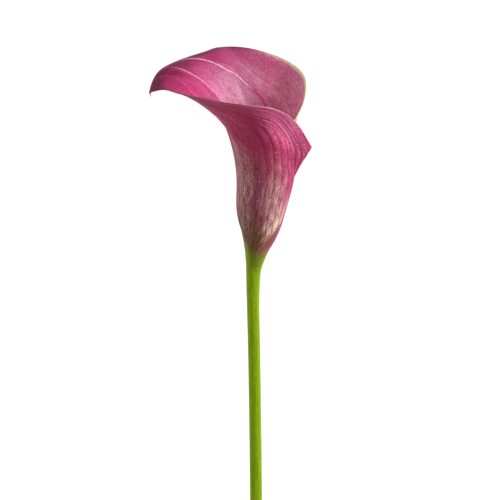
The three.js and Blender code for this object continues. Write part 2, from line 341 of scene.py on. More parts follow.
def vein_start(side, opened):
    """Where round the tube the vein that passes this place of the limb begins."""
    opened = min(opened, 0.995)  # all the veins meet at the rim, so it stops short of that
    column = 0
    while VEIN_OPENINGS[column + 1] <= opened:
        column += 1
    share = (opened - VEIN_OPENINGS[column]) / (VEIN_OPENINGS[column + 1] - VEIN_OPENINGS[column])
    here = [lerp(path[column], path[column + 1], share) for path in VEIN_PATHS]
    row = 0
    while row < len(here) - 2 and side - TIP_SIDE > here[row + 1]:
        row += 1
    within = (side - TIP_SIDE - here[row]) / max(here[row + 1] - here[row], 1e-6)
    return lerp(VEIN_PATHS[row][0], VEIN_PATHS[row + 1][0], within)


def pleat_of(start):
    """The count of pleats up to a vein, whole at each groove, and the depth of the grooves there."""
    row = 0
    while row < len(GROOVES) - 2 and start > GROOVES[row + 1][0]:
        row += 1
    (low, low_depth), (high, high_depth) = GROOVES[row], GROOVES[row + 1]
    within = (start - low) / (high - low)
    return row + within, lerp(low_depth, high_depth, min(max(within, 0), 1))


def vein_distances(path, places, grown):
    """How far each point is from a pale vein, in millimetres, negative on its far side."""
    line = []
    for start, end in zip(path, path[1:]):
        for step in range(PALE_VEIN_STEPS):
            share = step / PALE_VEIN_STEPS
            line.append((lerp(start[0], end[0], share), lerp(start[1], end[1], share)))
    line.append(path[-1])
    near = KDTree(len(line))
    for index, (side, opened) in enumerate(line):
        near.insert(spathe_point((side + 1) / 2, 1 + opened), index)
    near.balance()
    found = []
    for (turn, level), point in zip(places, grown):
        _, index, distance = near.find(point)
        a = line[max(index - 1, 0)]
        b = line[min(index + 1, len(line) - 1)]
        across = (b[0] - a[0]) * (level - 1 - a[1]) - (b[1] - a[1]) * (2 * turn - 1 - a[0])
        found.append(math.copysign(min(distance, PALE_VEIN_REACH), across))
    return found


def rim_gaps(grown, across):
    """How far each point of the blade is from its rim or edges, in millimetres along the surface."""
    rows = len(grown) // across
    gaps = [0.0] * len(grown)
    for i in range(across):
        for j in range(rows - 2, -1, -1):
            k = j * across + i
            gaps[k] = gaps[k + across] + (grown[k] - grown[k + across]).length
    for j in range(rows):
        row = list(range(j * across, (j + 1) * across))
        for order in (row, row[::-1]):
            gap = 0.0
            gaps[order[0]] = 0.0
            for last, k in zip(order, order[1:]):
                gap += (grown[k] - grown[last]).length
                gaps[k] = min(gaps[k], gap)
    return gaps


def pleat_spans(grown, pleats, across):
    """How many millimetres of the surface one pleat spans at each point.

    It is measured square to the pleats, also where they run aslant of the rows and columns.
    """
    spans = []
    last = len(grown) - 1
    for k in range(len(grown)):
        column = k % across
        east = k + 1 if column < across - 1 else k
        west = k - 1 if column else k
        north = k + across if k + across <= last else k
        south = k - across if k >= across else k
        u, v = grown[east] - grown[west], grown[north] - grown[south]
        du, dv = pleats[east] - pleats[west], pleats[north] - pleats[south]
        e, f, g = u.dot(u), u.dot(v), v.dot(v)
        slope = (g * du * du - 2 * f * du * dv + e * dv * dv) / max(e * g - f * f, 1e-9)
        spans.append(min(1 / math.sqrt(max(slope, 1e-6)), WIDEST_PLEAT))
    return spans


@functools.lru_cache(maxsize=1)
def lay_down():
    """The matrix that lays the grown flower, in millimetres, where the frame has it, in metres."""
    turned = Matrix.Rotation(math.radians(ROLL), 4, "Y") @ Matrix.Rotation(math.radians(LEAN - 90), 4, "X")
    points = [turned @ spathe_point(i / 200, j / 20) for i in range(201) for j in range(41)]
    low = Vector([min(p[k] for p in points) for k in range(3)])
    high = Vector([max(p[k] for p in points) for k in range(3)])
    cad_low, cad_high = [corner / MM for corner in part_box("spathe")]
    place = (cad_low + cad_high) / 2 - (low + high) / 2
    place.z = cad_high.z - high.z
    return Matrix.Scale(MM, 4) @ Matrix.Translation(place) @ turned


def press_flat(mesh, yields_at=0.5 * MM):
    """Where a piece would sink below the surface that it lies on, it yields and lies flat."""
    for vertex in mesh.vertices:
        if vertex.co.z < yields_at:
            vertex.co.z = yields_at * math.exp((vertex.co.z - yields_at) / yields_at)


def seat(piece, name, node):
    """Lays a grown piece down, names it, hangs it on the root body and hides the solid that it stands for."""
    piece.data.transform(lay_down())
    press_flat(piece.data)
    piece.name = name
    piece.data.name = name
    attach(piece, "root")
    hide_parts(node)


def keep_on_points(mesh, name, values):
    """Keeps a number for each point under a name that materials can read."""
    attribute = mesh.attributes.new(name, "FLOAT", "POINT")
    attribute.data.foreach_set("value", values)


def keep_grown(mesh):
    """Keeps each point's place as the flower grew, so patterns follow the plant and not the floor."""
    attribute = mesh.attributes.new("grown", "FLOAT_VECTOR", "POINT")
    attribute.data.foreach_set("vector", [x for vertex in mesh.vertices for x in vertex.co])


def linear(hex_colour):
    """An sRGB hex colour as linear red, green and blue."""
    channels = [int(hex_colour[i:i + 2], 16) / 255 for i in (1, 3, 5)]
    return [c / 12.92 if c <= 0.04045 else ((c + 0.055) / 1.055) ** 2.4 for c in channels]


def feed(tree, node, inputs):
    """Sets a node's sockets, each to a value or to the node or output that feeds it."""
    for name, value in inputs:
        socket = node.inputs[name]
        if isinstance(value, bpy.types.Node):
            value = next(output for output in value.outputs if output.enabled)
        if isinstance(value, bpy.types.NodeSocket):
            tree.links.new(value, socket)
        else:
            socket.default_value = (*value, 1) if socket.type == "RGBA" else value


def add_node(tree, kind, inputs=(), stops=(), **settings):
    """Adds a shader node with its settings and inputs. A ramp's stops are places with a colour or grey."""
    node = tree.nodes.new("ShaderNode" + kind)
    for name, value in settings.items():
        setattr(node, name, value)
    feed(tree, node, inputs)
    if stops:
        ramp = node.color_ramp
        while len(ramp.elements) < len(stops):
            ramp.elements.new(1)
        for element, (place, colour) in zip(ramp.elements, stops):
            element.position = place
            element.color = (*colour, 1) if hasattr(colour, "__len__") else (colour, colour, colour, 1)
    return node


def new_material(name):
    """A new material, and the call that adds a node to it."""
    material = bpy.data.materials.new(name)
    material.use_nodes = True
    return material, functools.partial(add_node, material.node_tree)


def set_shader(material, *sockets):
    """Sets the sockets of a material's shader."""
    tree = material.node_tree
    feed(tree, tree.nodes["Principled BSDF"], sockets)
    return material


def bands(*rows):
    """The stops of a ramp. A row is a colour, the place that it starts at, and where it is held to."""
    return [(place, colour) for colour, *places in rows for place in places]


def lay_over(add, skin, colour, *shares):
    """Lays a colour, or the colours of a node, over a skin, as densely as the product of its shares."""
    share = shares[0]
    for other in shares[1:]:
        share = add("Math", [(0, share), (1, other)], operation="MULTIPLY")
    return add("Mix", [(0, share), (6, skin), (7, colour)], data_type="RGBA")


def limb_outside(add, colours, around, opened):
    """The open limb's outside: crimson that turns to rose on the flap of the near rim."""
    rose_across = add(
        "ValToRGB", [(0, around)],
        stops=[
            (0.12, 0), (0.2, 0.3), (0.27, 0.3), (0.36, 0), (0.42, 0.05), (0.49, 0.7), (0.56, 1), (0.7, 1),
            (0.8, 0.55), (0.9, 0.25), (1, 0.2),
        ],
    )
    rose_out = add("MapRange", [(0, opened), (1, 0.47), (2, 0.72)], **EASED)
    rose_at = add("Math", [(0, rose_across), (1, rose_out)], operation="MULTIPLY")
    return lay_over(add, colours.crimson, colours.rose, rose_at), rose_at


def tube_outside(add, skin, colours, around, height, patches):
    """The tube's outside: wine and magenta pleats under patches of khaki, brown, and pale blotches."""
    low_down = add("MapRange", [(0, height), (1, 80), (2, 50)], **EASED)
    pleat_colours = add(
        "ValToRGB", [(0, around)],
        stops=bands(
            (colours.dark_line, 0), (colours.wine, 0.04), (colours.magenta, 0.09), (colours.wine, 0.14, 0.4),
            (colours.crimson, 0.46, 0.56), (colours.magenta, 0.62, 0.72), (colours.crimson, 0.84),
        ),
    )
    skin = lay_over(add, skin, pleat_colours, low_down)

    # Khaki is more on some pleats than on others, and starts 4 mm lower in front
    khaki_pleats = add(
        "ValToRGB", [(0, around)],
        stops=[
            (0, 0), (0.035, 0.3), (0.1, 0.5), (0.2, 0.78), (0.28, 0.6), (0.33, 0.18), (0.385, 0.22),
            (0.43, 0.38), (0.475, 0.7), (0.52, 0.85), (0.56, 0.6), (0.61, 0.15), (0.68, 0.1), (0.74, 0),
            (1, 0),
        ],
    )
    lower = add("MapRange", [(0, around), (1, 0.3), (2, 0.5), (3, 0), (4, 4)])
    khaki_height = add("Math", [(0, height), (1, lower)], operation="ADD")
    khaki_down = add("MapRange", [(0, khaki_height), (1, 84), (2, 52)], **EASED)
    skin = lay_over(add, skin, colours.khaki, khaki_pleats, khaki_down, patches)

    brown_low = add("MapRange", [(0, height), (1, 44), (2, 14)], **EASED)
    brown_pleats = add(
        "ValToRGB", [(0, around)],
        stops=[
            (0, 0.6), (0.06, 0.95), (0.2, 0.85), (0.28, 0.82), (0.34, 0.92), (0.42, 0.88), (0.5, 0.7),
            (0.58, 0.5), (0.7, 0.4), (1, 0.4),
        ],
    )
    skin = lay_over(add, skin, colours.brown, brown_low, brown_pleats)

    # At the front lie pale blotches and a cream strip, two of them on a slant. The ramp up the tube
    # reaches from its foot to 60 mm.
    up_tube = add("Math", [(0, height), (1, 60)], operation="DIVIDE")
    slant = add("Math", [(0, up_tube), (1, 0.66)], operation="MULTIPLY")
    aslant = add("Math", [(0, around), (1, slant)], operation="SUBTRACT")
    for colour, ruler, across, up in (
        (colours.blotch, aslant,
         [(0.14, 0), (0.19, 0.9), (0.25, 0.9), (0.28, 0.4), (0.36, 0.4), (0.41, 0.6), (0.48, 0)],
         [(0.33, 0), (0.43, 0.9), (0.5, 0.9), (0.64, 0.6), (0.74, 0.1), (0.8, 0)]),
        (colours.cream, aslant,
         [(0.24, 0), (0.28, 0.9), (0.33, 1), (0.36, 0.6), (0.41, 0)],
         [(0.24, 0), (0.34, 0.9), (0.48, 0.9), (0.58, 0.3), (0.7, 0)]),
        (colours.blotch, around,
         [(0.37, 0), (0.42, 0.35), (0.5, 0.5), (0.6, 0.5), (0.66, 0)],
         [(0.5, 0), (0.64, 0.8), (0.86, 0.8), (0.95, 0)]),
    ):
        pale_across = add("ValToRGB", [(0, ruler)], stops=across)
        pale_up = add("ValToRGB", [(0, up_tube)], stops=up)
        skin = lay_over(add, skin, colour, pale_across, pale_up, patches)
    return skin


def limb_stains_and_shade(add, skin, colours, around, opened):
    """Red stains, calmer than the rest, and painted shade: one where the flare bends out, partly painted
    shade, and two under the near rim, the deep red one painted shade.
    """
    for colour, across, up in (
        # Where the flare bends out: the petal's own maroon, darkened further by painted shade where the limb
        # curves under the flare, away from the light
        (colours.maroon,
         [(0.28, 0), (0.33, 0.1), (0.37, 0.4), (0.42, 0.85), (0.48, 0.78), (0.54, 0.25), (0.6, 0)],
         [(0.05, 0.1), (0.3, 0.58), (0.5, 0.9), (0.7, 1), (0.9, 0.6)]),
        # Under the near rim: painted shade in a deep red, where the limb faces down, away from the light
        (colours.rim_shade_red,
         [(0.08, 0), (0.15, 0.85), (0.4, 0.85), (0.5, 0.2), (0.56, 0)],
         [(0.66, 0), (0.8, 0.8), (1, 0.95)]),
        (colours.vivid,
         [(0.38, 0), (0.46, 0.6), (0.56, 0.6), (0.6, 0.85), (0.63, 0.7), (0.68, 0)],
         [(0.8, 0), (0.9, 0.7), (1, 0.8)]),
    ):
        stain_across = add("ValToRGB", [(0, around)], stops=across)
        stain_up = add("ValToRGB", [(0, opened)], stops=up)
        skin = lay_over(add, skin, colour, stain_across, stain_up)
    return skin


def pleat_highlights_and_groove_shade(add, skin, colours, pleat, crease, span, rose_at, mottle, streaks):
    """Painted light on the pleats: a painted highlight makes their backs paler on the flap, and a thin dark
    line of painted shade, about 0.7 mm wide, lies in each groove.
    """
    nearest = add("Math", [(0, pleat)], operation="ROUND")
    off = add("Math", [(0, pleat), (1, nearest)], operation="SUBTRACT")
    away = add("Math", [(0, off)], operation="ABSOLUTE")
    back = add("MapRange", [(0, away), (1, 0.2), (2, 0.45)], **EASED)
    # Painted highlight: pale pink on the pleats' backs on the flap
    skin = lay_over(add, skin, colours.pale_pink, back, rose_at, mottle)
    away_mm = add("Math", [(0, away), (1, span)], operation="MULTIPLY")
    line = add("MapRange", [(0, away_mm), (1, 0.6), (2, 0.15), (3, 0), (4, 0.65)], **EASED)
    deep = add("MapRange", [(0, crease), (1, 0.3), (2, 0.9), (3, 0.45), (4, 1)])
    broken = add("MapRange", [(0, streaks), (1, 0.35), (2, 0.55), (3, 0.35), (4, 1)])
    # Painted shade in each groove, darker where the groove is deeper
    return lay_over(add, skin, colours.dark_line, line, deep, broken)


def petal_outer_skin(colours):
    """The spathe's outside: living petal, grown in pleats along its veins.

    Its cells hold unequal pigment in long files, so it looks streaked: crimson and rose above, khaki,
    wine and brown down the tube, green at the foot. A thin wax on it gives a weak, soft shine.
    """
    material, add = new_material("petal_outer_skin")
    side, vein, height, opened, pleat, crease, span = (
        add("Attribute", attribute_name=name).outputs["Fac"]
        for name in ("side", "vein", "height", "opened", "pleat", "crease", "span")
    )
    grown = add("Attribute", attribute_name="grown").outputs["Vector"]
    around = add("Math", [(0, side)], operation="ABSOLUTE")

    # A cell is under 0.1 mm wide, too fine to show. A file of cells is drawn 0.9 mm wide and 7 mm long,
    # a clump of them 0.8 by 1.25 mm, and a broad streak 4 mm wide and 17 mm long. Clumps outweigh files
    # where the limb opens.
    along = add("CombineXYZ", [(0, vein), (1, height)])
    files_at = add("VectorMath", [(0, along), (1, (HALF_ROUND / 0.875, 1 / 7.14, 1))], operation="MULTIPLY")
    files = add("TexNoise", [(0, files_at), (2, 1), (3, 2), (4, 0.6)])
    clumps_at = add("VectorMath", [(0, grown), (1, (1 / 0.77, 1 / 0.77, 1 / 1.25))], operation="MULTIPLY")
    clumps = add("TexNoise", [(0, clumps_at), (2, 1), (3, 2), (4, 0.6)])
    rounder = add("MapRange", [(0, opened), (1, 0.1), (2, 0.45), (3, 0.4), (4, 0.8)])
    grain = add("Mix", [(0, rounder), (2, files), (3, clumps)], data_type="FLOAT")
    mottle = add("MapRange", [(0, grain), (1, 0.37), (2, 0.63)])
    streaks_at = add("VectorMath", [(0, along), (1, (HALF_ROUND / 4, 1 / 16.7, 1))], operation="MULTIPLY")
    streaks = add("TexNoise", [(0, streaks_at), (2, 1), (3, 2), (4, 0.5)])
    drift = add("MapRange", [(0, streaks), (1, 0.3), (2, 0.7), (3, -0.4), (4, 0.4)])
    uneven = add("Math", [(0, mottle), (1, drift)], operation="ADD")
    patches = add("MapRange", [(0, uneven), (1, -0.2), (2, 1.2), (3, 0.35), (4, 1.4)])

    skin, rose_at = limb_outside(add, colours, around, opened)
    skin = tube_outside(add, skin, colours, around, height, patches)

    # Cells rich in pigment are darker and purpler, and poor ones paler, least so at the foot
    pigment = add("Mix", [(0, mottle), (6, (0.64, 0.44, 0.5)), (7, (1.36, 1.58, 1.52))], data_type="RGBA")
    calm_foot = add("MapRange", [(0, height), (1, 2), (2, 24), (3, 0.4), (4, 1)])
    skin = add("Mix", [(0, calm_foot), (6, skin), (7, pigment)], data_type="RGBA", blend_type="MULTIPLY")

    skin = limb_stains_and_shade(add, skin, colours, around, opened)
    skin = pleat_highlights_and_groove_shade(add, skin, colours, pleat, crease, span, rose_at, mottle, streaks)

    # Green climbs out of the stem between the brown fibres, highest at the back
    climbing = add("MapRange", [(0, grain), (1, 0.35), (2, 0.65), (3, 4), (4, -4)])
    from_back = add("MapRange", [(0, around), (1, 0.1), (2, 0.35), (3, -7), (4, 0)])
    climbed = add("Math", [(0, climbing), (1, from_back)], operation="ADD")
    green_height = add("Math", [(0, height), (1, climbed)], operation="ADD")
    green_at = add("MapRange", [(0, green_height), (1, 13), (2, 1), (3, 0), (4, 0.85)], **EASED)
    foot_green = add(
        "ValToRGB", [(0, around)],
        stops=bands((colours.green, 0.25), (colours.deep_green, 0.38, 0.62), (colours.green, 0.8)),
    )
    skin = lay_over(add, skin, foot_green, green_at)
    relief = add("Bump", [("Height", grain), ("Distance", 0.15 * MM), ("Strength", 0.5)])
    return set_shader(
        material, ("Base Color", skin), ("Normal", relief), ("Roughness", 0.45), ("Specular IOR Level", 0.05),
    )


def inner_rings(add, colours, across, vein_across, opened):
    """Three rings of colour from the throat to the rim, each its own between the veins."""
    # Between the far veins the palest and pale pinks are partly the petal's own and partly painted light, a
    # lit patch on the far wall
    throat_ring = add(
        "ValToRGB", [(0, vein_across)],
        stops=bands(
            (colours.far_pink, 0, 0.22), (colours.palest, 0.26, 0.4), (colours.pink, 0.43, 0.56),
            (colours.rose, 0.62, 1),
        ),
    )
    middle_ring = add(
        "ValToRGB", [(0, vein_across)],
        stops=bands(
            (colours.far_pink, 0, 0.155), (colours.dusk, 0.205, 0.245), (colours.pale_pink, 0.265, 0.33),
            (colours.pink, 0.385), (colours.vivid, 0.425, 0.46), (colours.pink, 0.52, 0.615),
            (colours.rose, 1),
        ),
    )
    outer_ring = add(
        "ValToRGB", [(0, across)],
        stops=bands(
            (colours.far_pink, 0, 0.17), (colours.dusk, 0.24, 0.28), (colours.pale_pink, 0.315, 0.33),
            (colours.pink, 0.36), (colours.magenta, 0.4, 0.46), (colours.maroon, 0.49, 0.533),
            (colours.vivid, 0.55, 0.61), (colours.crimson, 1),
        ),
    )
    out_of_throat = add("MapRange", [(0, opened), (1, 0.34), (2, 0.58)], **EASED)
    skin = lay_over(add, throat_ring, middle_ring, out_of_throat)
    sooner = add("MapRange", [(0, across), (1, 0.34), (2, 0.45), (3, 0), (4, 0.1)])
    out = add("Math", [(0, opened), (1, sooner)], operation="ADD")
    outward = add("MapRange", [(0, out), (1, 0.58), (2, 0.8)], **EASED)
    skin = lay_over(add, skin, outer_ring, outward)

    # The crest over the tip, where the limb turns down: magenta, partly the petal's own and partly painted
    # shade where it bends over, away from the light
    crest_across = add(
        "ValToRGB", [(0, across)], stops=[(0.21, 0), (0.28, 0.6), (0.33, 0.85), (0.4, 0.85), (0.46, 0)],
    )
    crest_out = add("MapRange", [(0, opened), (1, 0.74), (2, 0.88)], **EASED)
    return lay_over(add, skin, colours.magenta, crest_across, crest_out)


def purple_tip_and_crest_shade(add, skin, colours, across, opened, clouds):
    """Purple gathers at the tip and thins out along the crest: partly the petal's own purple, partly painted
    shade where the limb bends over, away from the light. The ramp holds how far out it starts.
    """
    purple_from = add(
        "ValToRGB", [(0, across)],
        stops=[
            (0.32, 0.98), (0.36, 0.89), (0.4, 0.79), (0.43, 0.74), (0.46, 0.68), (0.48, 0.65), (0.5, 0.68),
            (0.52, 0.79), (0.54, 0.94), (0.56, 1.0),
        ],
    )
    wander = add("MapRange", [(0, clouds), (1, 0.3), (2, 0.7), (3, -0.04), (4, 0.04)])
    wandering = add("Math", [(0, opened), (1, wander)], operation="ADD")
    past = add("Math", [(0, wandering), (1, purple_from)], operation="SUBTRACT")
    purple_at = add("MapRange", [(0, past), (1, -0.04), (2, 0.05), (3, 0), (4, 0.95)], **EASED)
    return lay_over(add, skin, colours.purple, purple_at)


def pale_veins(add, skin, colours, across, opened):
    """Three pale veins, 0.4 to 1 mm wide, with a red shade beside them. Each fades at both ends."""
    for name, colour, reach, ruler, shown in (
        ("vein_far", colours.magenta, 0.5, across, [(0.25, 0), (0.285, 0.3), (0.325, 0.4), (0.345, 0)]),
        ("vein_far", colours.vein, 0.47, across, [(0.315, 0), (0.345, 0.9), (0.43, 0.75), (0.47, 0)]),
        ("vein_middle", colours.vein, 0.27, opened, [(0.1, 0.95), (0.5, 0.95), (0.62, 0.8), (0.72, 0)]),
        ("vein_near", colours.vein, 0.2, opened, [(0.45, 0.2), (0.7, 0.45), (0.84, 0)]),
    ):
        distance = add("Attribute", attribute_name=name).outputs["Fac"]
        away = add("Math", [(0, distance)], operation="ABSOLUTE")
        beside = add("MapRange", [(0, away), (1, 1.6), (2, 0.2), (3, 0), (4, 0.35)], **EASED)
        skin = lay_over(add, skin, colours.vivid, beside)
        line = add("MapRange", [(0, away), (1, reach + 0.2), (2, reach - 0.2)], **EASED)
        skin = lay_over(add, skin, colour, line, add("ValToRGB", [(0, ruler)], stops=shown))
    return skin


def petal_inner_skin(colours):
    """The spathe's inside: living petal, smooth and velvety, fed by a few large veins.

    Its pinks are mottled cell by cell and change at the veins, which are pale for want of pigment. The
    tip is purple, the throat a greenish cream, and the shine is as weak as outside.
    """
    material, add = new_material("petal_inner_skin")
    side, vein, height, opened, rim_gap = (
        add("Attribute", attribute_name=name).outputs["Fac"]
        for name in ("side", "vein", "height", "opened", "rim_gap")
    )
    place = add("TexCoord").outputs["Object"]
    across = add("MapRange", [(0, side), (1, -1), (2, 1)])
    vein_across = add("MapRange", [(0, vein), (1, -1), (2, 1)])

    # Cells are too fine to show here too. A file of them is drawn 1.2 mm wide and 10 mm long, a clump
    # 1.1 mm across, and a broad cloud 6 mm wide and 23 mm long.
    along = add("CombineXYZ", [(0, vein), (1, opened)])
    files_scale = (HALF_ROUND / 1.167, LIMB_REACH / 10, 1)
    files_at = add("VectorMath", [(0, along), (1, files_scale)], operation="MULTIPLY")
    files = add("TexNoise", [(0, files_at), (2, 1), (3, 2), (4, 0.6)])
    clouds_scale = (HALF_ROUND / 6.22, LIMB_REACH / 23.3, 1)
    clouds_at = add("VectorMath", [(0, along), (1, clouds_scale)], operation="MULTIPLY")
    clouds = add("TexNoise", [(0, clouds_at), (2, 1), (3, 2), (4, 0.5)])
    clumps = add("TexNoise", [(0, place), (2, 1 / (1.111 * MM)), (3, 2), (4, 0.65)])
    grain = add("Mix", [(0, 0.65), (2, files), (3, clumps)], data_type="FLOAT")

    skin = inner_rings(add, colours, across, vein_across, opened)

    # Magenta blushes, 4 mm across, drift over the pinks
    blushes = add("TexNoise", [(0, place), (2, 1 / (3.846 * MM)), (3, 2), (4, 0.6)])
    blush = add("MapRange", [(0, blushes), (1, 0.5), (2, 0.36), (3, 0), (4, 0.3)])
    skin = lay_over(add, skin, colours.magenta, blush)
    skin = purple_tip_and_crest_shade(add, skin, colours, across, opened, clouds)
    skin = pale_veins(add, skin, colours, across, opened)

    # On the far side the margin's cream bleeds inwards through a pale pink, 3 and 6 mm from the rim
    far_side = add("MapRange", [(0, side), (1, -0.38), (2, -0.58)])
    for colour, reach, most in ((colours.pale_pink, 6, 0.8), (colours.margin, 3, 0.85)):
        bleed = add("MapRange", [(0, rim_gap), (1, reach), (2, 0.3), (3, 0), (4, most)], **EASED)
        skin = lay_over(add, skin, colour, bleed, far_side)

    # Down in the tube the pink pales to a greenish cream
    throat = add("MapRange", [(0, height), (1, 34), (2, 12)], **EASED)
    skin = lay_over(add, skin, colours.lime, throat)

    # Cells rich in pigment are darker and redder, and poor ones paler
    mottle = add("MapRange", [(0, grain), (1, 0.36), (2, 0.64)])
    drift = add("MapRange", [(0, clouds), (1, 0.3), (2, 0.7), (3, -0.25), (4, 0.25)])
    uneven = add("Math", [(0, mottle), (1, drift)], operation="ADD", use_clamp=True)
    pigment = add("Mix", [(0, uneven), (6, (0.84, 0.66, 0.74)), (7, (1.16, 1.34, 1.26))], data_type="RGBA")
    skin = add("Mix", [(0, 1), (6, skin), (7, pigment)], data_type="RGBA", blend_type="MULTIPLY")
    relief = add("Bump", [("Height", grain), ("Distance", 0.12 * MM), ("Strength", 0.4)])
    return set_shader(
        material, ("Base Color", skin), ("Normal", relief), ("Roughness", 0.45), ("Specular IOR Level", 0.05),
    )


def petal_margin(colours):
    """The spathe's thin edge, where its two skins meet and pigment thins out.

    So it is cream round the far side and pink along the near side, but purple at the tip.
    """
    material, add = new_material("petal_margin")
    side = add("Attribute", attribute_name="side").outputs["Fac"]
    height = add("Attribute", attribute_name="height").outputs["Fac"]
    across = add("MapRange", [(0, side), (1, -1), (2, 1)])
    skin = add(
        "ValToRGB", [(0, across)],
        stops=bands(
            (colours.margin, 0, 0.3), (colours.crimson, 0.36), (colours.purple, 0.42, 0.55),
            (colours.brown, 0.59), (colours.near_margin, 0.64, 0.7), (colours.blotch, 0.74, 0.77),
            (colours.dusk, 0.8, 1),
        ),
    )
    at_foot = add("MapRange", [(0, height), (1, 4), (2, 1)])
    skin = lay_over(add, skin, colours.green, at_foot)
    return set_shader(material, ("Base Color", skin), ("Roughness", 0.5))


def dry_point(colours):
    """The thread at the tip: petal that has withered, so it is grey brown, even and dull."""
    material, _ = new_material("dry_point")
    return set_shader(material, ("Base Color", colours.withered), ("Roughness", 0.8))


def stem_skin(colours):
    """The stem: smooth green skin under wax, so it shines a little more than the petal.

    Fine fibres run along it under the skin, with faint paler flecks, and it browns into the spathe.
    """
    material, add = new_material("stem_skin")
    grown = add("Attribute", attribute_name="grown").outputs["Vector"]

    # A fibre is about 0.2 mm wide, and is drawn 0.6 mm wide and 20 mm long so that it shows. A fleck is
    # 0.9 mm wide and 2 mm long.
    fibres_at = add("VectorMath", [(0, grown), (1, (1 / 0.625, 1 / 0.625, 1 / 20))], operation="MULTIPLY")
    fibres = add("TexNoise", [(0, fibres_at), (2, 1), (3, 3), (4, 0.6)])
    flecks_at = add("VectorMath", [(0, grown), (1, (1 / 0.909, 1 / 0.909, 1 / 2))], operation="MULTIPLY")
    flecks = add("TexNoise", [(0, flecks_at), (2, 1), (3, 2), (4, 0.5)])
    grain = add("Mix", [(0, 0.35), (2, fibres), (3, flecks)], data_type="FLOAT")
    skin = add(
        "ValToRGB", [(0, grain)],
        stops=bands((colours.deep_green, 0.3), (colours.green, 0.5), (colours.light_green, 0.7)),
    )
    up_stem = add("SeparateXYZ", [(0, grown)]).outputs["Z"]
    neck = add("MapRange", [(0, up_stem), (1, -7), (2, 0), (3, 0), (4, 0.4)])
    skin = lay_over(add, skin, colours.brown, neck)
    relief = add("Bump", [("Height", grain), ("Distance", 0.1 * MM), ("Strength", 0.4)])
    return set_shader(
        material, ("Base Color", skin), ("Normal", relief), ("Roughness", 0.38), ("Specular IOR Level", 0.05),
    )


def stem_flesh(colours):
    """The cut: wet pale flesh, sliced across, so its tubes show end on, 0.4 mm apart, and it glistens."""
    material, add = new_material("stem_flesh")
    grown = add("Attribute", attribute_name="grown").outputs["Vector"]
    tubes = add("TexVoronoi", [(0, grown), (2, 1 / 0.3846)])
    skin = add("ValToRGB", [(0, tubes)], stops=bands((colours.green, 0.1), (colours.lime, 0.3, 0.7)))
    relief = add("Bump", [("Height", tubes), ("Distance", 0.2 * MM), ("Strength", 0.6)])
    return set_shader(material, ("Base Color", skin), ("Normal", relief), ("Roughness", 0.3))


def pollen_florets(colours):
    """Ripe florets, burst open: dry golden pollen, so they are grainy and quite dull.

    A pollen grain is 0.03 mm, too fine to show, so clumps of them are drawn a third of a millimetre across.
    """
    material, add = new_material("pollen_florets")
    place = add("TexCoord").outputs["Object"]
    clumps = add("TexNoise", [(0, place), (2, 3 / MM), (3, 2), (4, 0.7)])
    skin = add(
        "ValToRGB", [(0, clumps)],
        stops=bands((colours.pollen_shade, 0.3), (colours.pollen, 0.55), (colours.pollen_light, 0.75)),
    )
    relief = add("Bump", [("Height", clumps), ("Distance", 0.1 * MM), ("Strength", 0.7)])
    return set_shader(material, ("Base Color", skin), ("Normal", relief), ("Roughness", 0.85))


def ovary_florets(colours):
    """Ovaries at the spadix's foot: swollen, smooth and moist, so they are pale green beads that shine.

    Each is clouded from green to lime over about 1.1 mm.
    """
    material, add = new_material("ovary_florets")
    place = add("TexCoord").outputs["Object"]
    clouds = add("TexNoise", [(0, place), (2, 1 / (1.111 * MM)), (3, 2), (4, 0.5)])
    skin = add("ValToRGB", [(0, clouds)], stops=bands((colours.light_green, 0.35), (colours.lime, 0.6)))
    return set_shader(material, ("Base Color", skin), ("Roughness", 0.35))


def matte_paper(studio):
    """The floor: a sheet of uncoated paper, lit from below, so it is pale, even and without a shine."""
    material, _ = new_material("matte_paper")
    return set_shader(
        material, ("Base Color", studio.floor), ("Roughness", 0.9), ("Emission Color", (1, 1, 1)),
        ("Emission Strength", studio.floor_glow),
    )


class CallaShape(bpy.types.PropertyGroup):
    """The sizes of the spathe's wall and of the spadix"""

    petal_thickness: FloatProperty(
        name="Petal thickness",
        description="Thickness of the spathe's wall low on the tube",
        default=1.2 * MM, min=0.4 * MM, max=2 * MM, unit="LENGTH",
    )
    margin_thickness: FloatProperty(
        name="Margin thickness",
        description="Thickness of the spathe's wall at its rim",
        default=0.55 * MM, min=0.2 * MM, max=1.5 * MM, unit="LENGTH",
    )
    pleat_depth: FloatProperty(
        name="Pleat depth",
        description="How deep the deepest groove between two pleats of the spathe is",
        default=0.3 * MM, min=0, max=0.6 * MM, unit="LENGTH",
    )
    spadix_length: FloatProperty(
        name="Spadix length",
        description="Length of the finger of florets inside the tube",
        default=50 * MM, min=10 * MM, max=60 * MM, unit="LENGTH",
    )
    spadix_radius: FloatProperty(
        name="Spadix radius",
        description="Radius of the spadix over its florets",
        default=3.5 * MM, min=2 * MM, max=5 * MM, unit="LENGTH",
    )
    florets_around: IntProperty(
        name="Florets around",
        description="How many florets stand in one ring round the spadix",
        default=20, min=8, max=40,
    )


def tint(name, hex_colour, description):
    """A colour that a user can change."""
    return FloatVectorProperty(
        name=name, description=description, subtype="COLOR", default=linear(hex_colour),
    )


